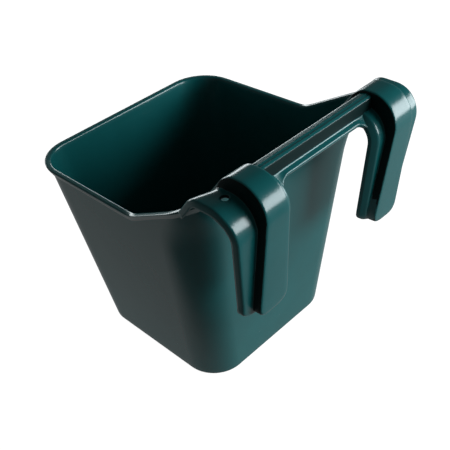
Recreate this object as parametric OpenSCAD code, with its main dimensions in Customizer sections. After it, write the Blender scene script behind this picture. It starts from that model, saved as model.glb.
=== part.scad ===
// Hook-over feed bucket: one moulded tub that hangs on a rail or stable door by two
// broad hooks, with a hand grip bar between them.
// Frame: origin under the middle of the overall size, on the standing face. +Z up,
// the open front (the horse's side) faces -Y, the hooks reach over the rail at +Y.
// Each node is one region of the moulding; neighbours meet face to face.

/* [Tub] */
// Width of the base over the walls
base_w = 226; // [200:2:250]
// Base length in front of the origin
base_front = 135.5; // [120:0.5:150]
// Base length behind the origin
base_back = 83.5; // [75:0.5:90]
// Rim front edge in front of the origin
rim_front = 185.5; // [175:0.5:195]
// Sideways lean of the side walls, per millimetre of height
side_lean = 0.145; // [0.1:0.005:0.18]
// Backward lean of the back wall, per millimetre of height
back_lean = 0.074; // [0.04:0.002:0.08]
// Extra half width at the back end of the plan
back_widen = 3.4; // [0:0.2:5]
// Height of the rim at the front
front_h = 255.7; // [252:0.1:262]
// Height of the rim where it starts to climb to the hooks
bend_h = 259; // [256:0.5:262]
// Distance of that bend behind the origin
bend_y = 8.3; // [0:0.1:20]
// Climb of the back part of the rim, per millimetre of depth
climb = 0.567; // [0.5:0.005:0.6]
// Wall thickness
wall_t = 3; // [2.4:0.2:4]
// Floor thickness
floor_t = 3.6; // [3:0.2:5]
// Plan radius of the front corners at the base
front_r = 38; // [30:1:45]
// Plan radius of the back corners at the base
back_r = 44; // [36:1:50]

/* [Rim] */
// How far the rim lip stands out from the wall
lip_out = 4.7; // [4:0.1:6]
// Height of the rim lip
lip_h = 11; // [9:0.5:12]

/* [Hooks] */
// Height of the hook flanges at the top of the arch
flange_top = 333.5; // [331:0.5:336]
// Outer radius of the flange shoulder
flange_r = 32; // [30:0.5:34]
// Height of the raised rib at the top of the arch
rib_top = 350.5; // [348:0.5:354]
// Outer radius of the rib shoulder
rib_r = 37; // [35:0.5:38]
// Sheet thickness of the hooks
hook_t = 3; // [2.6:0.2:3.4]
// Half distance between the outer edges of the hooks at the arch
hook_out = 164; // [160:0.5:166]
// Half distance between the inner edges of the hooks
hook_in = 72; // [66:0.5:76]
// Outer side of the rib, from the centre plane
rib_out = 128.5; // [126:0.5:132]
// Inner side of the rib at the arch, from the centre plane
rib_in = 96; // [92:0.5:98]
// Depth of the turned-in edge of a hook, measured through the sheet
edge_d = 8.4; // [7:0.2:10]
// Height of the hook tips
tip_z = 180; // [168:1:188]
// Diameter of the tie hole in each hook
hole_d = 8; // [6:0.5:10]

/* [Grip bar] */
// Height of the bar's crown
bar_top = 347.5; // [345:0.5:349]
// Width of the bar
bar_w = 16.5; // [14:0.5:17]
// Width of the lip behind the bar
bar_lip_w = 7; // [5:0.5:8]

/* [Hidden] */

green = [0.05, 0.21, 0.2];
green_hook = [0.07, 0.27, 0.26];
green_rim = [0.09, 0.3, 0.29];

loft_h = 330;                    // height to which the tub is lofted before the rim cut
front_lean = (rim_front - lip_out - base_front) / front_h;
square_h = 240;                  // above this the back corners draw in to carry the hooks
front_top_r = 51;                // plan radius of the front corners at loft_h
back_mid_r = back_r + 7;         // plan radius of the back corners at square_h
back_top_r = 12;                 // plan radius of the back corners at loft_h
split_x = 70;                    // where the flat front and back walls meet the corners
split_front = -92;               // where the side walls meet the front corners
split_back = 38;                 // where the side walls meet the back corners
root_y = 101.2;                  // where the side rim ends and the hook root starts
root_z = rim_z(root_y);
rib_root_y = 110;                // where the rib's nose leaves the root
rib_root_z = 322;
ramp_a = 55;                     // slope of the hook root
nose_a = 52;                     // slope of the rib's nose
crest_r = 18;                    // rounding from the root to the level arch
nose_r = 25;                     // rounding from the nose to the rib's top
flange_cy = 139.7;               // centre of the flange shoulder
rib_cy = rim_front - rib_r;      // centre of the rib shoulder
flange_tuck = 4.86;              // lean of the hook's leg towards the tub, degrees
rib_tuck = 6;
leg_z = 150;                     // height to which the legs run before the tip outline
tip_x = 106;                     // centre of the rounded tip
tip_r = 90;                      // radius of the rounded tip
edge_t = 2.4;                    // thickness of a turned-in edge
hole_x = 140;                    // tie hole
hole_y = 141.5;
bar_y = 134;                     // front side of the grip bar
far = 400;                       // larger than the whole part

function rim_z(y) = y < bend_y ? bend_h + (bend_h - front_h) / (bend_y + rim_front) * (y - bend_y)
                               : bend_h + climb * (y - bend_y);

// Plan outline of the tub at height z, grown outwards by grow
module outline(z, grow = 0) {
  front_w = base_w / 2 + side_lean * z + grow;
  back_w = front_w + back_widen;
  front_y = -(base_front + front_lean * z) - grow;
  back_y = base_back + back_lean * z + grow;
  rf = front_r + (front_top_r - front_r) * z / loft_h + grow;
  rb = grow + (z < square_h ? back_r + (back_mid_r - back_r) * z / square_h
               : back_mid_r + (back_top_r - back_mid_r) * (z - square_h) / (loft_h - square_h));
  hull() for (s = [-1, 1]) {
    translate([s * (front_w - rf), front_y + rf]) circle(rf, $fn = 64);
    translate([s * (back_w - rb), back_y - rb]) circle(rb, $fn = 64);
  }
}

// Tapered block inside the outline, between two heights
module block(z0, z1, grow) {
  hull() {
    translate([0, 0, z0]) linear_extrude(0.01) outline(z0, grow);
    translate([0, 0, z1]) linear_extrude(0.01) outline(z1, grow);
  }
}

module loft(z0, grow = 0) {
  block(z0, square_h, grow);
  block(square_h, loft_h, grow);
}

// Side view region under the rim line, lowered by drop
module under_rim(drop = 0) {
  y0 = -rim_front - 20;
  y1 = 130;
  translate([-far, 0, 0]) rotate([90, 0, 90]) linear_extrude(2 * far)
    polygon([[y0, -10], [y1, -10], [y1, rim_z(y1) - drop],
             [bend_y, bend_h - drop], [y0, rim_z(y0) - drop]]);
}

module tub_shell() {
  intersection() {
    difference() { loft(floor_t); loft(0, -wall_t); }
    under_rim();
  }
}

module wall_region(x0, x1, y0, y1) {
  intersection() {
    tub_shell();
    translate([x0, y0, 0]) cube([x1 - x0, y1 - y0, loft_h]);
  }
}

// Lip that turns outwards and down round the rim
module rim_shell() {
  difference() {
    intersection() { block(square_h, loft_h, lip_out); under_rim(); }
    under_rim(lip_h);
    block(square_h, loft_h, 0);
  }
}

module rim_region(x0, x1, y0, y1) {
  intersection() {
    rim_shell();
    translate([x0, y0, 150]) cube([x1 - x0, y1 - y0, loft_h]);
  }
}

// Side view line of a hook, d inside its outer surface: slope, crest, arch and leg
function hook_line(y0, z0, slope, r0, top, cy, r, tuck, d) =
  let (c0 = [y0 + (top - r0 - z0 + r0 * cos(slope)) / tan(slope) + r0 * sin(slope), top - r0],
       end_a = 90 + tuck, zs = top - r + (r - d) * cos(end_a), ys = cy + (r - d) * sin(end_a))
  concat([[y0 + d * sin(slope), z0 - d * cos(slope)]],
         [for (i = [0:6]) let (a = -slope + slope * i / 6) c0 + (r0 - d) * [sin(a), cos(a)]],
         [for (i = [0:12]) let (a = end_a * i / 12) [cy + (r - d) * sin(a), top - r + (r - d) * cos(a)]],
         [[ys - tan(tuck) * (zs - leg_z), leg_z]]);

function flange_line(d) = hook_line(root_y, root_z, ramp_a, crest_r, flange_top,
                                    flange_cy, flange_r, flange_tuck, d);
function rib_line(d) = hook_line(rib_root_y, rib_root_z, nose_a, nose_r, rib_top,
                                 rib_cy, rib_r, rib_tuck, d);
function reversed(v) = [for (i = [len(v) - 1:-1:0]) v[i]];

// Side view shape drawn as [y, z], carried from x0 to x1
module across(x0, x1) {
  translate([x0, 0, 0]) rotate([90, 0, 90]) linear_extrude(x1 - x0) children();
}

module flange_band(d0, d1) { polygon(concat(flange_line(d0), reversed(flange_line(d1)))); }
module rib_band(d0, d1) { polygon(concat(rib_line(d0), reversed(rib_line(d1)))); }

// Front view outline of a hook as [x, z]: straight root, tapered leg, rounded tip
module hook_front(inset = 0) {
  taper_z = 325;
  out_low = hook_out - 0.135 * (taper_z - tip_z);
  intersection() {
    polygon([[hook_in + inset, tip_z - 20], [out_low - inset, tip_z - 1], [hook_out - inset, taper_z],
             [hook_out - inset, far], [hook_in + inset, far]]);
    union() {
      translate([tip_x, tip_z + tip_r]) circle(tip_r - inset, $fn = 96);
      translate([0, tip_z + tip_r * 0.55]) square([2 * tip_r + tip_x, far]);
    }
  }
}

// Rib outline as [x, z]: its inner side spreads towards the tip
module rib_front(inset = 0) {
  spread = 0.0875;
  intersection() {
    polygon([[rib_in - spread * (rib_top - leg_z) + inset, leg_z], [rib_out - inset, leg_z],
             [rib_out - inset, far], [rib_in + inset, far], [rib_in + inset, rib_top]]);
    union() {
      translate([tip_x, tip_z + tip_r]) circle(tip_r - inset, $fn = 96);
      translate([0, tip_z + tip_r * 0.55]) square([2 * tip_r + tip_x, far]);
    }
  }
}

// Front view shape as [x, z], carried the whole depth
module through() {
  translate([0, far, 0]) rotate([90, 0, 0]) linear_extrude(2 * far) children();
}

module flange_region() {
  across(hook_in, hook_out) difference() {
    flange_band(0, hook_t);
    translate([0, -far]) square([root_y + 12, 2 * far]);
  }
}

// Turned-in edge along the outside of the hook's outline
module edge_region() {
  difference() {
    intersection() {
      across(hook_in, hook_out) difference() {
        flange_band(hook_t, edge_d);
        translate([0, -far]) square([root_y + 12, 2 * far]);
      }
      through() hook_front();
    }
    through() hook_front(edge_t);
  }
}

module outer_flange() {
  difference() {
    union() {
      intersection() {
        flange_region();
        through() hook_front();
        translate([rib_out, 0, 0]) cube(far);
      }
      intersection() {
        edge_region();
        translate([rib_out, 0, 0]) cube(far);
      }
    }
    translate([hole_x, hole_y, flange_top - 20]) cylinder(d = hole_d, h = 40, $fn = 48);
  }
}

module inner_flange() {
  difference() {
    union() {
      intersection() {
        flange_region();
        through() hook_front();
        cube([rib_out, far, far]);
      }
      intersection() {
        edge_region();
        cube([rib_out, far, far]);
      }
    }
    through() rib_front();
  }
}

// Raised hollow rib: crown, two side walls and the closed tip
module hook_rib() {
  difference() {
    intersection() {
      across(hook_in, hook_out) polygon(concat(rib_line(0), reversed(flange_line(hook_t))));
      through() rib_front();
      across(hook_in, hook_out) difference() {
        translate([root_y + 12, 0]) square([far, far]);
        polygon(concat(reversed(flange_line(hook_t)), [[root_y, leg_z]]));
      }
    }
    intersection() {
      across(0, far) polygon(concat(rib_line(hook_t), [[root_y, leg_z - 1], [root_y, root_z - hook_t]]));
      through() rib_front(hook_t);
    }
  }
}

// Sheet that climbs from the tub's back rim to the hook's arch
module hook_root() {
  across(hook_in, hook_out) intersection() {
    polygon([[root_y, root_z], [root_y + 12, root_z + 12 * tan(ramp_a)],
             [root_y + 12, root_z + 12 * tan(ramp_a) - hook_t / cos(ramp_a)],
             [root_y + 6.6, rim_z(root_y + 6.6)]]);
    square([root_y + 12, far]);
  }
}

// Crowned channel of the grip bar, open underneath
module bar_section(inset = 0) {
  r = 4 - inset;
  bottom = flange_top - hook_t;
  translate([bar_y + inset, bottom - 1])
    union() {
      square([bar_w - 2 * inset, bar_top - bottom - r - inset + 1]);
      translate([r, 0]) square([bar_w - 2 * inset - 2 * r, bar_top - bottom - inset + 1]);
      for (s = [r, bar_w - 2 * inset - r])
        translate([s, bar_top - bottom - r - inset + 1]) circle(r, $fn = 48);
    }
}

module grip_bar_body() {
  difference() {
    across(-rib_in, rib_in) bar_section();
    across(-rib_in - 1, rib_in + 1) bar_section(hook_t);
    across(-far, far) square([far, flange_top - hook_t]);
    for (x = [-rib_in - 1, hook_in])
      across(x, x + rib_in - hook_in + 1)
        polygon(concat(flange_line(0), [[root_y, leg_z]]));
  }
}

module grip_bar_edge() {
  lip_y = bar_y + bar_w;
  across(-hook_in, hook_in) {
    intersection() {
      flange_band(0, hook_t);
      translate([lip_y, flange_top - 20]) square([bar_lip_w, far]);
    }
    intersection() {
      flange_band(hook_t, edge_d);
      translate([lip_y + bar_lip_w - edge_t, flange_top - 20]) square([edge_t, far]);
    }
  }
}

module floor() {
  color(green) intersection() {
    block(0, square_h, 0);
    translate([-far, -far, 0]) cube([2 * far, 2 * far, floor_t]);
  }
}
module front_wall() { color(green) wall_region(-split_x, split_x, -far, 0); }
module back_wall() { color(green) wall_region(-split_x, split_x, 0, far); }
module right_wall() { color(green) wall_region(split_x, far, split_front, split_back); }
module left_wall() { color(green) mirror([1, 0, 0]) right_wall(); }
module front_right_corner() { color(green) wall_region(split_x, far, -far, split_front); }
module front_left_corner() { color(green) mirror([1, 0, 0]) front_right_corner(); }
module back_right_corner() { color(green) wall_region(split_x, far, split_back, far); }
module back_left_corner() { color(green) mirror([1, 0, 0]) back_right_corner(); }
module front_rim() { color(green_rim) rim_region(-split_x, split_x, -far, 0); }
module front_right_rim() { color(green_rim) rim_region(split_x, far, -far, split_front); }
module front_left_rim() { color(green_rim) mirror([1, 0, 0]) front_right_rim(); }
module right_rim() { color(green_rim) rim_region(split_x, far, split_front, root_y); }
module left_rim() { color(green_rim) mirror([1, 0, 0]) right_rim(); }
module back_rim() { color(green_rim) rim_region(-hook_in, hook_in, split_back, far); }
module right_hook_root() { color(green_hook) hook_root(); }
module left_hook_root() { color(green_hook) mirror([1, 0, 0]) hook_root(); }
module right_hook_rib() { color(green_hook) hook_rib(); }
module left_hook_rib() { color(green_hook) mirror([1, 0, 0]) hook_rib(); }
module right_outer_flange() { color(green_hook) outer_flange(); }
module left_outer_flange() { color(green_hook) mirror([1, 0, 0]) outer_flange(); }
module right_inner_flange() { color(green_hook) inner_flange(); }
module left_inner_flange() { color(green_hook) mirror([1, 0, 0]) inner_flange(); }
module grip_bar() { color(green_hook) grip_bar_body(); }
module grip_bar_lip() { color(green_hook) grip_bar_edge(); }

floor();
front_wall();
back_wall();
left_wall();
right_wall();
front_left_corner();
front_right_corner();
back_left_corner();
back_right_corner();
front_rim();
front_left_rim();
front_right_rim();
left_rim();
right_rim();
back_rim();
left_hook_root();
left_hook_rib();
left_outer_flange();
left_inner_flange();
right_hook_root();
right_hook_rib();
right_outer_flange();
right_inner_flange();
grip_bar();
grip_bar_lip();
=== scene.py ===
import math

import bmesh
import bpy
from mathutils import Matrix, Vector


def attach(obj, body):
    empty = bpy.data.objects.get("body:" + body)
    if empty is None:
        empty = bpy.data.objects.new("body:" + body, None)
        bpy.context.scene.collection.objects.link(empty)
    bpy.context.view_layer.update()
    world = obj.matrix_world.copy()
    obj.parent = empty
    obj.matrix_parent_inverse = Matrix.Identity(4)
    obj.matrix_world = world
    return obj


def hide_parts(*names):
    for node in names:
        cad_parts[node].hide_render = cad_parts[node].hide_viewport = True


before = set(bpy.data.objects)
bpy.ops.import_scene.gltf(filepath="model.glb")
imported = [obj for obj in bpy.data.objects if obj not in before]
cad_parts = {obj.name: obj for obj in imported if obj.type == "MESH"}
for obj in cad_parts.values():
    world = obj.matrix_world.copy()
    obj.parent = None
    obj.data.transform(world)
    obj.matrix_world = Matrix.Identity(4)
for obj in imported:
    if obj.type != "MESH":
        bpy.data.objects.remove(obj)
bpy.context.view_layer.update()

MM = 0.001

# ---------------------------------------------------------------- measures, millimetres

WALL = 3.0                 # wall of the moulding
FLOOR = 3.6                # thicker floor
BASE_R = 5.0               # radius outside, between the underside and the walls
FOOT_R = 9.0               # radius inside, between the walls and the floor
RIM_LEVEL = 259.0          # rim height where the climb begins
RIM_BEND = 8.3             # place of that bend
RIM_CLIMB = 0.567          # climb towards the hooks
BACK_RIM = 314.0           # rim height between the hooks
FRONT_SLOPE = 0.017        # slight rise of the rim from the front to the bend
BEND_SOFTNESS = 3.2        # how gently the rim bends upwards
BACK_SOFTNESS = 1.5        # how gently the climb meets the level back
FLANGE_TOP = 334.0         # top of the hooks' flanges
RIB_TOP = 350.0            # top of the raised rib of each hook
LEG_LEAN = 0.096           # how far the hook legs lean back, per unit of height
FLANGE_LEG = 168.5         # depth of the flange face of a leg at z = 250
RIB_LEG = 178.7            # depth of the rib face of a leg at z = 250
TIP_X, TIP_Z = 108.0, 200.0
TIP_REACH = 17.0           # how far the flange's end hangs below TIP_Z
RIB_REACH = 20.0           # how far the rib's end hangs below TIP_Z
TIP_SQUARENESS = 0.62      # below 1 makes the round hook end squarer
STEP_REACH = 24.0          # the steps beside a rib lie within this reach of the hook's middle
STEP_SHADE_START = 122.0         # depth at which the painted shade on the steps begins
HOOK_SHEET = 2.7           # wall of the hooks
BAR_SHEET = 2.4            # wall of the grip bar
TIE_X, TIE_Y = 140.0, 141.5
TIE_R = 4.0                # radius of the tie hole
TIE_MOUTH_Z = 333.1        # where the hole starts to flare
TIE_FLARE = 1.4            # how much wider its mouth is
TIE_FLARE_H = 1.2          # height of the flare
TIE_CUT = 30.0             # depth of the cut below the mouth


def blend(a, b, t):
    """Goes straight from a to b as t goes from 0 to 1."""
    return a + (b - a) * t


def ease(t):
    """Goes softly from 0 to 1, and stays there on both sides."""
    t = max(0.0, min(1.0, t))
    return t * t * (3 - 2 * t)


# ---------------------------------------------------------------- plan of the tub

FRONT_LEAN = 0.1772
SIDE_LEAN = 0.145
BACK_LEAN = 0.074


def plan_size(z, grow):
    """Half widths, front and back depths and corner radii of the tub at height z."""
    front_half = 113.0 + SIDE_LEAN * z + grow
    back_half = front_half + 3.4
    front_y = -(135.5 + FRONT_LEAN * z) - grow
    back_y = 83.5 + BACK_LEAN * z + grow
    front_r = 38.0 + 0.040 * z + grow
    back_r = 44.0 + 0.029 * z - 30.0 * ease((z - 236.0) / 92.0) + grow
    return front_half, back_half, front_y, back_y, max(front_r, 0.5), max(back_r, 0.5)


STRETCHES = [("front", 14), ("front_right", 18), ("right", 34), ("back_right", 20),
             ("back", 20), ("back_left", 20), ("left", 34), ("front_left", 18)]
COLUMNS = [(name, i / n) for name, n in STRETCHES for i in range(n)]


def plan_point(column, z, grow):
    """Where one column of the wall stands at height z."""
    name, t = column
    fw, bw, fy, by, fr, br = plan_size(z, grow)
    turn = math.radians(90 * t)
    if name == "front":
        return blend(-(fw - fr), fw - fr, t), fy
    if name == "front_right":
        return fw - fr + fr * math.sin(turn), fy + fr - fr * math.cos(turn)
    if name == "right":
        return blend(fw, bw, t), blend(fy + fr, by - br, t)
    if name == "back_right":
        return bw - br + br * math.cos(turn), by - br + br * math.sin(turn)
    if name == "back":
        return blend(bw - br, -(bw - br), t), by
    if name == "back_left":
        return -(bw - br) - br * math.sin(turn), by - br + br * math.cos(turn)
    if name == "left":
        return -blend(bw, fw, t), blend(by - br, fy + fr, t)
    return -(fw - fr) - fr * math.cos(turn), fy + fr - fr * math.sin(turn)


def rim_height(y):
    """Height of the rim top: level at the front, a soft bend, a straight climb and a level back."""
    level = RIM_LEVEL + FRONT_SLOPE * (min(y, RIM_BEND) - RIM_BEND)
    rise = BEND_SOFTNESS * math.log1p(math.exp(min(60.0, (y - RIM_BEND) / BEND_SOFTNESS)))
    z = level + RIM_CLIMB * rise
    if z > BACK_RIM - 12:
        z = BACK_RIM - BACK_SOFTNESS * math.log1p(math.exp((BACK_RIM - z) / BACK_SOFTNESS))
    return min(z, BACK_RIM)


def rim_place(column):
    """Height of the rim top on one column."""
    z = RIM_LEVEL
    for _ in range(40):
        z = rim_height(plan_point(column, z, 1.0)[1])
    return z


# ---------------------------------------------------------------- mesh helpers

def new_piece(name, bm):
    """Turns a finished bmesh into a smooth-shaded object of the scene."""
    mesh = bpy.data.meshes.new(name)
    bm.to_mesh(mesh)
    bm.free()
    piece = bpy.data.objects.new(name, mesh)
    bpy.context.scene.collection.objects.link(piece)
    for face in mesh.polygons:
        face.use_smooth = True
    return piece


def bent_line(corners, radii, arc_steps, straight_steps):
    """Points along a line with its corners rounded; their number depends only on the steps."""
    pts = [Vector(c) for c in corners]
    marks = [pts[0]]
    out = []
    for i in range(1, len(pts) - 1):
        before = (pts[i - 1] - pts[i]).normalized()
        after = (pts[i + 1] - pts[i]).normalized()
        half = before.angle(after) / 2
        r = max(radii[i - 1], 1e-4)
        reach = r / math.tan(half) if half > 1e-5 else 0.0
        start = pts[i] + before * reach
        end = pts[i] + after * reach
        centre = None
        if half < math.pi / 2 - 1e-5:
            centre = pts[i] + (before + after).normalized() * (r / math.sin(half))
        n = straight_steps[i - 1]
        for k in range(n):
            out.append(marks[-1].lerp(start, k / n))
        m = arc_steps[i - 1]
        for k in range(m):
            if centre is None:
                out.append(start.lerp(end, k / m))
                continue
            a = (start - centre)
            b = (end - centre)
            sweep = a.angle(b) if a.length > 1e-9 and b.length > 1e-9 else 0.0
            t = k / m
            if sweep < 1e-6:
                out.append(start.lerp(end, t))
            else:
                turned = a * math.sin((1 - t) * sweep) + b * math.sin(t * sweep)
                out.append(centre + turned / math.sin(sweep))
        marks.append(end)
    n = straight_steps[-1]
    for k in range(n + 1):
        out.append(marks[-1].lerp(pts[-1], k / n))
    return out


# ---------------------------------------------------------------- the tub

def tub_rings():
    """Rings from the middle of the underside, up the outside, over the rim and down inside:
    (growth, kind, value); kind says how the value is turned into a height."""
    rings = [(-30.0, "from_base", 0.4), (-16.0, "from_base", 0.4), (-13.0, "from_base", 0.0),
             (-6.0, "from_base", 0.0)]
    for a in (15, 35, 55, 75, 90):
        turn = math.radians(a)
        rings.append((-BASE_R + BASE_R * math.sin(turn), "from_base", BASE_R - BASE_R * math.cos(turn)))
    rings += [(0.0, "share", f / 26.0) for f in range(1, 27)]
    rings += [(0.0, "skirt", -0.8), (0.25, "skirt", -0.35), (1.1, "skirt", -0.15), (1.75, "skirt", 0.0),
              (2.1, "skirt", 0.4), (2.3, "skirt", 1.2), (3.2, "skirt", 4.4), (4.0, "from_rim", -4.2),
              (4.5, "from_rim", -2.6), (4.68, "from_rim", -1.7), (4.6, "from_rim", -0.95),
              (4.2, "from_rim", -0.4), (3.6, "from_rim", -0.08), (2.8, "from_rim", 0.0),
              (0.5, "from_rim", 0.0), (-1.2, "from_rim", -0.1), (-2.1, "from_rim", -0.5),
              (-2.7, "from_rim", -1.2), (-3.0, "from_rim", -2.4), (-3.0, "from_rim", -6.0)]
    rings += [(-WALL, "inner_share", f / 24.0) for f in range(23, -1, -1)]
    for a in (15, 30, 45, 60, 75, 90):
        turn = math.radians(a)
        rings.append((-WALL - FOOT_R + FOOT_R * math.cos(turn), "from_base",
                      FLOOR + FOOT_R - FOOT_R * math.sin(turn)))
    rings += [(-20.0, "from_base", FLOOR), (-34.0, "from_base", FLOOR)]
    return rings


def skirt_height(y):
    """How far the rim lip hangs below the rim top; a little more towards the back."""
    return 9.5 + 2.0 * ease((y + 120.0) / 220.0)


def build_tub():
    """Grows the tub ring by ring from the middle of its underside to the middle of its floor."""
    rims = [rim_place(c) for c in COLUMNS]
    bm = bmesh.new()
    bmesh.ops.create_circle(bm, segments=len(COLUMNS), radius=0.1, cap_ends=False)
    loop = sorted(bm.verts, key=lambda v: v.index)
    edges = list(bm.edges)
    rings = tub_rings()

    def settle(verts, ring):
        grow, kind, value = ring
        for v, column, rim in zip(verts, COLUMNS, rims):
            y_here = plan_point(column, rim, 1.0)[1]
            low = rim - skirt_height(y_here)
            if kind == "from_base":
                z = value
            elif kind == "share":
                z = blend(BASE_R, low - 1.6, value)
            elif kind == "inner_share":
                z = blend(FLOOR + FOOT_R, rim - 12.0, value)
            elif kind == "skirt":
                z = low + value
            else:
                z = rim + value
            x, y = plan_point(column, z, grow)
            v.co = (x * MM, y * MM, z * MM)

    settle(loop, rings[0])
    first = loop
    for ring in rings[1:]:
        made = bmesh.ops.extrude_edge_only(bm, edges=edges)["geom"]
        column_of = {v: i for i, v in enumerate(loop)}
        above = {}
        for v in made:
            if isinstance(v, bmesh.types.BMVert):
                for e in v.link_edges:
                    below = e.other_vert(v)
                    if below in column_of:
                        above[column_of[below]] = v
        loop = [above[i] for i in range(len(COLUMNS))]
        ring_verts = set(loop)
        edges = [g for g in made if isinstance(g, bmesh.types.BMEdge)
                 and g.verts[0] in ring_verts and g.verts[1] in ring_verts]
        settle(loop, ring)
    bm.faces.new(loop)
    bm.faces.new(first)
    bmesh.ops.recalc_face_normals(bm, faces=bm.faces)
    return new_piece("tub", bm)


# ---------------------------------------------------------------- the hooks

ROOT_STEPS, CREST_STEPS, TOP_STEPS, ARCH_STEPS, LEG_STEPS, TIP_STEPS = 7, 8, 6, 18, 16, 14


def hook_path(start, crest, crest_r, arch, arch_r, foot):
    return bent_line([start, crest, arch, foot], [crest_r, arch_r],
                     [CREST_STEPS, ARCH_STEPS], [ROOT_STEPS, TOP_STEPS, LEG_STEPS])


def leg_y(base, z):
    """Depth of a hook leg's face at height z."""
    return base + LEG_LEAN * (z - 250.0)


FLANGE_PATH = hook_path((94.5, 307.5), (113.7, FLANGE_TOP), 20.0,
                        (leg_y(FLANGE_LEG, FLANGE_TOP), FLANGE_TOP), 33.5,
                        (leg_y(FLANGE_LEG, TIP_Z), TIP_Z))
RIB_PATH = hook_path((99.4, 307.5), (130.8, RIB_TOP), 22.5,
                     (leg_y(RIB_LEG, RIB_TOP), RIB_TOP), 36.0, (leg_y(RIB_LEG, TIP_Z), TIP_Z))
LEVEL_END = ROOT_STEPS + CREST_STEPS + TOP_STEPS


def path_normal(path, i):
    """Direction square to a path, towards its outer side."""
    a = path[max(i - 1, 0)]
    b = path[min(i + 1, len(path) - 1)]
    t = (b - a).normalized()
    return Vector((-t.y, t.x))


def root_shift(x, i):
    """The crest sits further back towards the middle of the bucket."""
    inward = 1.0 - ease((x - 129.0) / 33.0)
    along = 1.0 - ease(max(0.0, i - ROOT_STEPS - CREST_STEPS) / TOP_STEPS)
    return 8.0 * inward * along


def hook_section(side, i):
    """Half of a hook's cross-section at station i: [(x, height over the flange)] from the middle out."""
    flange = FLANGE_PATH[i] + Vector((root_shift(TIP_X, i), 0))
    rib = RIB_PATH[i]
    rise = max(0.6, (rib - flange).length)
    low = min(FLANGE_PATH[i].y, 330.0) if i > LEVEL_END - TOP_STEPS else 330.0
    r_top = min(3.2, rise * 0.3)
    r_foot = min(1.5, rise * 0.15)
    if side > 0:
        rib_x = 128.5
        edge = 151.3 + 0.132 * (low - 250.0)
        corners = [(TIP_X, rise), (rib_x, rise), (rib_x + 0.9, 0), (edge, 0), (edge + 1.0, -8.3)]
        radii = [r_top, r_foot, 3.0]
    else:
        rib_x = 87.0 + 0.079 * (min(rib.y, 350.0) - 250.0) if i > LEVEL_END - TOP_STEPS else 94.9
        corners = [(TIP_X, rise), (rib_x, rise), (rib_x - 1.0, 0), (78.5, 0), (72.4, -6.2),
                   (71.6, -10.2)]
        radii = [r_top, r_foot, 5.0, 2.4]
    arcs = [6, 5, 5] if side > 0 else [6, 5, 5, 4]
    runs = [4, 2, 5, 3] if side > 0 else [4, 2, 3, 2, 2]
    return bent_line(corners, radii, arcs, runs), rise


def place_on_hook(x, h, rise, i, z_leg=None):
    """Turns a section point into a place on the hook."""
    if z_leg is None:
        flange = FLANGE_PATH[i] + Vector((root_shift(x, i), 0))
        rib = RIB_PATH[i]
        normal = path_normal(FLANGE_PATH, i)
        middle = FLANGE_PATH[i] + Vector((root_shift(TIP_X, i), 0))
        up = (rib - middle).normalized() if (rib - middle).length > 0.6 else normal
    else:
        flange = Vector((leg_y(FLANGE_LEG, z_leg), z_leg))
        normal = Vector((1.0, -LEG_LEAN)).normalized()
        up = (RIB_PATH[-1] - FLANGE_PATH[-1]).normalized()
    p = flange + (up * h if h > 0 else normal * h)
    return Vector((x, p.x, p.y))


def tip_drop(reach, side):
    """How far below TIP_Z a line that runs at this reach from the hook's middle passes the tip."""
    rib_reach = 20.5 if side > 0 else 25.0
    if reach <= rib_reach:
        return RIB_REACH * reach / rib_reach
    return blend(RIB_REACH, TIP_REACH, min(1.0, (reach - rib_reach) / 3.0))


def squared(value, power):
    """Pushes a sine or cosine out so that a round end becomes a squarer one."""
    return math.copysign(abs(value) ** power, value)


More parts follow.
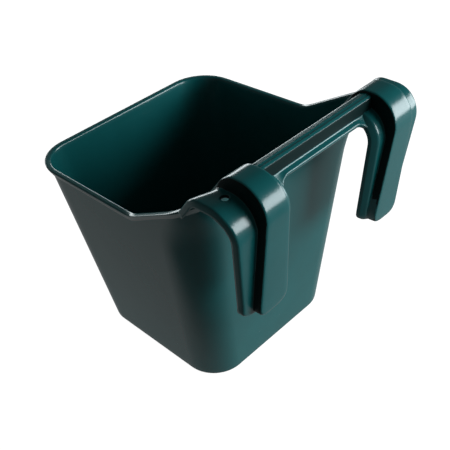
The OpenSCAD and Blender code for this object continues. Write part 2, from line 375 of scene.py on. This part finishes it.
def build_hook(name, mirror):
    """A sheet laid along the hook: down the inner side, round the tip and up the outer side."""
    count = len(FLANGE_PATH)
    last = count - 1
    sections = {s: [hook_section(s, i) for i in range(count)] for s in (-1, 1)}
    n_in, n_out = len(sections[-1][0][0]), len(sections[1][0][0])
    rows = max(n_in, n_out)

    def padded(points):
        """Repeats spacing so both sides carry the same number of rows."""
        pts = list(points)
        while len(pts) < rows:
            gaps = [(pts[k + 1] - pts[k]).length for k in range(len(pts) - 1)]
            k = gaps.index(max(gaps[:4]))
            pts.insert(k + 1, (pts[k] + pts[k + 1]) / 2)
        return pts

    inner = [(padded(p), r) for p, r in sections[-1]]
    outer = [(padded(p), r) for p, r in sections[1]]
    stations = count * 2 - 1 + TIP_STEPS * 2 - 1
    bm = bmesh.new()
    bmesh.ops.create_grid(bm, x_segments=stations - 1, y_segments=rows - 1, size=1.0)
    verts = sorted(bm.verts, key=lambda v: (round(v.co.x, 6), round(v.co.y, 6)))
    for k in range(stations):
        for j in range(rows):
            v = verts[k * rows + j]
            if k < count:
                pts, rise = inner[k]
                p = place_on_hook(pts[j].x, pts[j].y, rise, k)
            elif k >= stations - count:
                i = stations - 1 - k
                pts, rise = outer[i]
                p = place_on_hook(pts[j].x, pts[j].y, rise, i)
            else:
                turn = 180.0 * (k - count + 1) / (stations - 2 * count + 1)
                a = math.radians(turn)
                side = -1 if turn < 90 else 1
                pin, rise = inner[last]
                pout, _ = outer[last]
                mix = ease(turn / 180.0)
                reach_in = abs(pin[j].x - TIP_X)
                reach_out = abs(pout[j].x - TIP_X)
                reach = reach_in if turn < 90 else reach_out
                h = blend(pin[j].y, pout[j].y, mix)
                drop = blend(tip_drop(reach_in, -1), tip_drop(reach_out, 1), 0.5)
                z = TIP_Z - drop * squared(math.sin(a), TIP_SQUARENESS)
                x = TIP_X - reach * squared(math.cos(a), TIP_SQUARENESS)
                if h < 0:
                    h *= 1.0 - 0.55 * math.sin(a) ** 2
                p = place_on_hook(x, h, rise, last, z)
            v.co = p * MM
    bmesh.ops.remove_doubles(bm, verts=bm.verts, dist=0.00001)
    if mirror:
        bmesh.ops.scale(bm, vec=(-1, 1, 1), verts=bm.verts)
    bmesh.ops.recalc_face_normals(bm, faces=bm.faces)
    face = max(bm.faces, key=lambda f: f.calc_center_median().z)
    if face.normal.z < 0:
        bmesh.ops.reverse_faces(bm, faces=bm.faces)
    # painted shade: the upright step faces beside each rib, back from this depth, take the dark material
    # that stands in for the shade there
    for f in bm.faces:
        middle = f.calc_center_median()
        if abs(f.normal.x) > 0.6 and abs(abs(middle.x) / MM - TIP_X) < STEP_REACH \
                and middle.y > STEP_SHADE_START * MM:
            f.material_index = 1
    piece = new_piece(name, bm)
    piece.data.materials.append(HOOK_GREEN)
    piece.data.materials.append(PAINTED_SHADE_GREEN)
    wall = piece.modifiers.new("wall", "SOLIDIFY")
    wall.thickness = HOOK_SHEET * MM
    wall.offset = -1.0
    wall.use_even_offset = False
    return piece


# ---------------------------------------------------------------- the grip bar

def bar_section(x):
    """Side view of the bar's skin at x, from its front foot over the crown to the edge of the lip."""
    near = max(0.0, abs(x) - 60.0)
    spread = 14.0 - math.sqrt(max(0.0, 14.0 ** 2 - min(near, 13.9) ** 2))
    turn = math.radians(57.5) - spread / 33.5
    deep = 31.8 - 3.6 * ease(near / 14.0)
    centre = Vector((139.7, 300.5))
    out = Vector((math.cos(turn), math.sin(turn)))
    edge = centre + out * deep
    tail = centre + out * (deep - 5.0) + Vector((out.y, -out.x)) * 0.6
    corners = [(133.2, 326.0), (133.6, 345.6), (142.4, 347.3), (144.6, 346.55), (146.9, 346.9),
               (149.9, 345.2), (150.6, 330.2), (edge.x, edge.y), (tail.x, tail.y)]
    return bent_line(corners, [3.2, 0.8, 0.9, 0.8, 2.0, 2.4, 2.0],
                     [7, 4, 4, 4, 5, 5, 6], [6, 3, 1, 1, 2, 5, 3, 3])


def build_bar():
    """Lays the bar's section along its length, closer together where it meets the hooks."""
    spots = [-95.5, -90, -84, -78] + [-74 + 1.0 * i for i in range(15)]
    spots += [-60 + 120.0 * i / 30 for i in range(1, 30)]
    spots += [60 + 1.0 * i for i in range(15)] + [78, 84, 90, 95.5]
    sections = [bar_section(x) for x in spots]
    rows = len(sections[0])
    bm = bmesh.new()
    bmesh.ops.create_grid(bm, x_segments=len(spots) - 1, y_segments=rows - 1, size=1.0)
    verts = sorted(bm.verts, key=lambda v: (round(v.co.x, 6), round(v.co.y, 6)))
    for k, x in enumerate(spots):
        for j in range(rows):
            p = sections[k][j]
            verts[k * rows + j].co = Vector((x, p.x, p.y)) * MM
    bmesh.ops.recalc_face_normals(bm, faces=bm.faces)
    top = max(bm.faces, key=lambda f: f.calc_center_median().z)
    if top.normal.z < 0:
        bmesh.ops.reverse_faces(bm, faces=bm.faces)
    # painted shade: the upright back face of the crown above the lip takes the dark material that stands
    # in for the shade between crown and lip
    for f in bm.faces:
        if f.normal.y > 0.8 and f.calc_center_median().z > 0.3315:
            f.material_index = 1
    piece = new_piece("grip_bar_skin", bm)
    piece.data.materials.append(HOOK_GREEN)
    piece.data.materials.append(PAINTED_SHADE_GREEN)
    wall = piece.modifiers.new("wall", "SOLIDIFY")
    wall.thickness = BAR_SHEET * MM
    wall.offset = -1.0
    wall.use_even_offset = False
    return piece


def cut_tie_hole(piece, side):
    """Bores the tie hole through the outer flange, with a softened mouth."""
    bm = bmesh.new()
    bmesh.ops.create_cone(bm, cap_ends=True, segments=48, radius1=TIE_R * MM, radius2=TIE_R * MM,
                          depth=TIE_CUT * MM)
    cap = [f for f in bm.faces if f.calc_center_median().z > 0.49 * TIE_CUT * MM]
    for v in bmesh.ops.extrude_face_region(bm, geom=cap)["geom"]:
        if isinstance(v, bmesh.types.BMVert):
            v.co = Vector((v.co.x * TIE_FLARE, v.co.y * TIE_FLARE, v.co.z + TIE_FLARE_H * MM))
    bmesh.ops.delete(bm, geom=[f for f in cap if f.is_valid], context="FACES_ONLY")
    bmesh.ops.translate(bm, verts=bm.verts,
                        vec=(side * TIE_X * MM, TIE_Y * MM, (TIE_MOUTH_Z - TIE_CUT / 2) * MM))
    bmesh.ops.recalc_face_normals(bm, faces=bm.faces)
    # painted shade: the walls the cutter leaves in the hole take the dark material that stands in for
    # the shade inside the tie hole
    for f in bm.faces:
        f.material_index = 1
    cutter = new_piece("hole_cutter", bm)
    cutter.data.materials.append(HOOK_GREEN)
    cutter.data.materials.append(PAINTED_SHADE_GREEN)
    cut = piece.modifiers.new("tie_hole", "BOOLEAN")
    cut.operation = "DIFFERENCE"
    cut.solver = "EXACT"
    cut.object = cutter
    bpy.context.view_layer.update()
    graph = bpy.context.evaluated_depsgraph_get()
    finished = bpy.data.meshes.new_from_object(piece.evaluated_get(graph))
    piece.modifiers.clear()
    piece.data = finished
    bpy.data.objects.remove(cutter)


# ---------------------------------------------------------------- materials

def group(name, ins, outs):
    """An empty shader node group with the given inputs and outputs."""
    g = bpy.data.node_groups.new(name, "ShaderNodeTree")
    for label, kind, value in ins:
        s = g.interface.new_socket(name=label, in_out="INPUT", socket_type=kind)
        if value is not None:
            s.default_value = value
    for label, kind in outs:
        g.interface.new_socket(name=label, in_out="OUTPUT", socket_type=kind)
    enter = g.nodes.new("NodeGroupInput")
    leave = g.nodes.new("NodeGroupOutput")
    return g, enter, leave


def moulded_surface():
    """Orange peel, handling scuffs and slow colour drift of glossy moulded plastic."""
    g, enter, leave = group("moulded_surface",
                            [("Place", "NodeSocketVector", None), ("Peel", "NodeSocketFloat", 1.0),
                             ("Scuffs", "NodeSocketFloat", 1.0)],
                            [("Tone", "NodeSocketFloat"), ("Scuff", "NodeSocketFloat"),
                             ("Height", "NodeSocketFloat")])
    nodes, link = g.nodes, g.links.new

    def noise(scale, detail, rough):
        n = nodes.new("ShaderNodeTexNoise")
        n.inputs["Scale"].default_value = scale
        n.inputs["Detail"].default_value = detail
        n.inputs["Roughness"].default_value = rough
        return n

    def maths(kind, a, b):
        n = nodes.new("ShaderNodeMath")
        n.operation = kind
        for socket, value in zip(n.inputs, (a, b)):
            if isinstance(value, (int, float)):
                socket.default_value = value
            else:
                link(value, socket)
        return n.outputs[0]

    place = enter.outputs["Place"]
    drift = noise(9.0, 3.0, 0.5)
    link(place, drift.inputs["Vector"])
    flow = noise(34.0, 4.0, 0.6)
    link(place, flow.inputs["Vector"])
    tone = maths("ADD", maths("MULTIPLY", drift.outputs["Fac"], 0.7),
                 maths("MULTIPLY", flow.outputs["Fac"], 0.3))
    link(tone, leave.inputs["Tone"])

    stretch = nodes.new("ShaderNodeMapping")
    stretch.inputs["Rotation"].default_value = (0.5, 0.35, 0.9)
    stretch.inputs["Scale"].default_value = (30.0, 210.0, 120.0)
    link(place, stretch.inputs["Vector"])
    streak = noise(1.0, 5.0, 0.62)
    link(stretch.outputs["Vector"], streak.inputs["Vector"])
    patch = noise(17.0, 2.0, 0.5)
    link(place, patch.inputs["Vector"])
    ramp = nodes.new("ShaderNodeMapRange")
    ramp.inputs["From Min"].default_value = 0.60
    ramp.inputs["From Max"].default_value = 0.74
    link(streak.outputs["Fac"], ramp.inputs["Value"])
    mask = nodes.new("ShaderNodeMapRange")
    mask.inputs["From Min"].default_value = 0.50
    mask.inputs["From Max"].default_value = 0.66
    link(patch.outputs["Fac"], mask.inputs["Value"])
    marks = maths("MULTIPLY", ramp.outputs["Result"], mask.outputs["Result"])
    scuff = maths("MULTIPLY", marks, enter.outputs["Scuffs"])
    link(scuff, leave.inputs["Scuff"])

    peel = noise(420.0, 2.0, 0.5)
    link(place, peel.inputs["Vector"])
    wave = noise(26.0, 1.0, 0.5)
    link(place, wave.inputs["Vector"])
    fine = maths("MULTIPLY", maths("MULTIPLY", peel.outputs["Fac"], 0.05), enter.outputs["Peel"])
    height = maths("ADD", fine, maths("MULTIPLY", wave.outputs["Fac"], 0.55))
    height = maths("SUBTRACT", height, maths("MULTIPLY", scuff, 0.03))
    link(height, leave.inputs["Height"])
    return g


SURFACE = moulded_surface()


def green_plastic(name, dark, light, rough, scuffs, shine=0.5):
    """Moulded plastic that drifts between two greens, with paler and rougher scuffs."""
    mat = bpy.data.materials.new(name)
    mat.use_nodes = True
    nodes, link = mat.node_tree.nodes, mat.node_tree.links.new
    shader = nodes["Principled BSDF"]
    coords = nodes.new("ShaderNodeTexCoord")
    marks = nodes.new("ShaderNodeGroup")
    marks.node_tree = SURFACE
    marks.inputs["Peel"].default_value = 1.0
    marks.inputs["Scuffs"].default_value = scuffs
    link(coords.outputs["Object"], marks.inputs["Place"])
    tint = nodes.new("ShaderNodeMix")
    tint.data_type = "RGBA"
    tint.inputs["A"].default_value = (*dark, 1)
    tint.inputs["B"].default_value = (*light, 1)
    link(marks.outputs["Tone"], tint.inputs["Factor"])
    worn = nodes.new("ShaderNodeMix")
    worn.data_type = "RGBA"
    worn.inputs["B"].default_value = (0.06, 0.13, 0.12, 1)
    link(tint.outputs["Result"], worn.inputs["A"])
    part = nodes.new("ShaderNodeMath")
    part.operation = "MULTIPLY"
    part.inputs[1].default_value = 0.25
    link(marks.outputs["Scuff"], part.inputs[0])
    link(part.outputs[0], worn.inputs["Factor"])
    link(worn.outputs["Result"], shader.inputs["Base Color"])
    gloss = nodes.new("ShaderNodeMapRange")
    gloss.inputs["From Min"].default_value = 0.0
    gloss.inputs["From Max"].default_value = 1.0
    gloss.inputs["To Min"].default_value = rough
    gloss.inputs["To Max"].default_value = rough + 0.16
    mixed = nodes.new("ShaderNodeMath")
    mixed.operation = "MULTIPLY_ADD"
    mixed.inputs[1].default_value = 0.30
    link(marks.outputs["Tone"], mixed.inputs[0])
    link(marks.outputs["Scuff"], mixed.inputs[2])
    link(mixed.outputs[0], gloss.inputs["Value"])
    link(gloss.outputs["Result"], shader.inputs["Roughness"])
    bump = nodes.new("ShaderNodeBump")
    bump.inputs["Strength"].default_value = 0.5
    bump.inputs["Distance"].default_value = 0.0006
    link(marks.outputs["Height"], bump.inputs["Height"])
    link(bump.outputs["Normal"], shader.inputs["Normal"])
    shader.inputs["IOR"].default_value = 1.5
    shader.inputs["Specular IOR Level"].default_value = shine
    return mat


# ---------------------------------------------------------------- assembly

TUB_GREEN = green_plastic("tub_green", (0.0035, 0.073, 0.075), (0.0055, 0.114, 0.117), 0.20, 0.45)
HOOK_GREEN = green_plastic("hook_green", (0.0035, 0.076, 0.079), (0.0055, 0.120, 0.124), 0.20, 0.3)
# stands in for the deep shade in the steps of the hooks and behind the grip bar; the real
# plastic there is the same as everywhere else
PAINTED_SHADE_GREEN = green_plastic("painted_shade_green", (0.0020, 0.010, 0.010), (0.0030, 0.020, 0.020),
                             0.42, 0.2, 0.10)

tub = build_tub()
tub.data.materials.append(TUB_GREEN)
right_hook = build_hook("right_hook_skin", False)
left_hook = build_hook("left_hook_skin", True)
for hook, side in ((right_hook, 1), (left_hook, -1)):
    cut_tie_hole(hook, side)
bar = build_bar()

for piece in (tub, right_hook, left_hook, bar):
    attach(piece, "root")
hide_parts(*[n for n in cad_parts
                   if "hook" not in n and "flange" not in n and "grip" not in n])
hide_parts("right_hook_root", "right_hook_rib", "right_outer_flange", "right_inner_flange")
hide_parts("left_hook_root", "left_hook_rib", "left_outer_flange", "left_inner_flange")
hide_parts("grip_bar", "grip_bar_lip")

# ---------------------------------------------------------------- studio

# The camera sees the floor and the surroundings white; the bucket sees them dimmer, and sees the
# floor's glow fade towards its back right side.
bm = bmesh.new()
bmesh.ops.create_grid(bm, x_segments=1, y_segments=1, size=6.0)
floor = new_piece("studio_floor", bm)
pale = bpy.data.materials.new("pale_floor")
pale.use_nodes = True
nodes, link = pale.node_tree.nodes, pale.node_tree.links.new
card = nodes["Principled BSDF"]
card.inputs["Base Color"].default_value = (0.1, 0.1, 0.1, 1)
card.inputs["Roughness"].default_value = 0.9
card.inputs["Emission Color"].default_value = (1, 1, 1, 1)
seen = nodes.new("ShaderNodeLightPath")
spread = nodes.new("ShaderNodeTexCoord")
across = nodes.new("ShaderNodeVectorMath")
across.operation = "DOT_PRODUCT"
across.inputs[1].default_value = (1.0, 1.0, 0.0)
link(spread.outputs["Object"], across.inputs[0])
shade = nodes.new("ShaderNodeMapRange")
shade.interpolation_type = "SMOOTHSTEP"
shade.inputs["From Min"].default_value = 0.19
shade.inputs["From Max"].default_value = 0.36
shade.inputs["To Min"].default_value = 0.25
shade.inputs["To Max"].default_value = 0.04
link(across.outputs["Value"], shade.inputs["Value"])
glow = nodes.new("ShaderNodeMix")
glow.data_type = "FLOAT"
glow.inputs["B"].default_value = 1.0
link(seen.outputs["Is Camera Ray"], glow.inputs["Factor"])
link(shade.outputs["Result"], glow.inputs["A"])
link(glow.outputs["Result"], card.inputs["Emission Strength"])
floor.data.materials.append(pale)

world = bpy.data.worlds.new("studio")
world.use_nodes = True
nodes, link = world.node_tree.nodes, world.node_tree.links.new
sky = nodes["Background"]
seen = nodes.new("ShaderNodeLightPath")
place = nodes.new("ShaderNodeTexCoord")
parts = nodes.new("ShaderNodeSeparateXYZ")
link(place.outputs["Generated"], parts.inputs["Vector"])
fade = nodes.new("ShaderNodeMapRange")
fade.inputs["From Min"].default_value = 0.0
fade.inputs["From Max"].default_value = 0.75
fade.inputs["To Min"].default_value = 0.12
fade.inputs["To Max"].default_value = 0.05
link(parts.outputs["Z"], fade.inputs["Value"])
pick = nodes.new("ShaderNodeMix")
pick.data_type = "FLOAT"
link(seen.outputs["Is Camera Ray"], pick.inputs["Factor"])
link(fade.outputs["Result"], pick.inputs["A"])
pick.inputs["B"].default_value = 1.0
link(pick.outputs["Result"], sky.inputs["Strength"])
sky.inputs["Color"].default_value = (1, 1, 1, 1)
bpy.context.scene.world = world
bpy.context.scene.view_settings.view_transform = "Standard"


def soft_box(name, place, aim, size, power, colour):
    """A rectangular studio light at place, facing aim."""
    data = bpy.data.lights.new(name, "AREA")
    data.shape = "RECTANGLE"
    data.size, data.size_y = size
    data.energy = power
    data.color = colour
    lamp = bpy.data.objects.new(name, data)
    lamp.location = place
    lamp.rotation_euler = (Vector(aim) - Vector(place)).to_track_quat("-Z", "Y").to_euler()
    bpy.context.scene.collection.objects.link(lamp)


soft_box("window", (-1.35, 1.50, 0.74), (0, 0.10, 0.25), (1.9, 1.0), 64, (0.88, 0.97, 1.0))
soft_box("far_card", (-0.70, -2.10, 0.5), (0, 0.1, 0.3), (2.8, 0.6), 26, (0.9, 0.98, 1.0))

AIM_HEIGHT, CAMERA_DISTANCE = 0.148618, 1.039587
yaw, pitch, roll = 2.35430693, 0.65382385, -0.06279027
back = Vector((math.sin(yaw) * math.cos(pitch), -math.cos(yaw) * math.cos(pitch), math.sin(pitch)))
right = (-back).cross(Vector((0, 0, 1))).normalized()
up = right.cross(-back)
turned_right = right * math.cos(roll) + up * math.sin(roll)
turned_up = -right * math.sin(roll) + up * math.cos(roll)
camera_data = bpy.data.cameras.new("camera")
camera_data.sensor_width = 36.0
camera_data.lens = 63.68256
camera = bpy.data.objects.new("camera", camera_data)
spot = Vector((0, 0, AIM_HEIGHT)) + back * CAMERA_DISTANCE
turn = Matrix((turned_right, turned_up, back)).transposed().to_4x4()
camera.matrix_world = Matrix.Translation(spot) @ turn
bpy.context.scene.collection.objects.link(camera)
bpy.context.scene.camera = camera
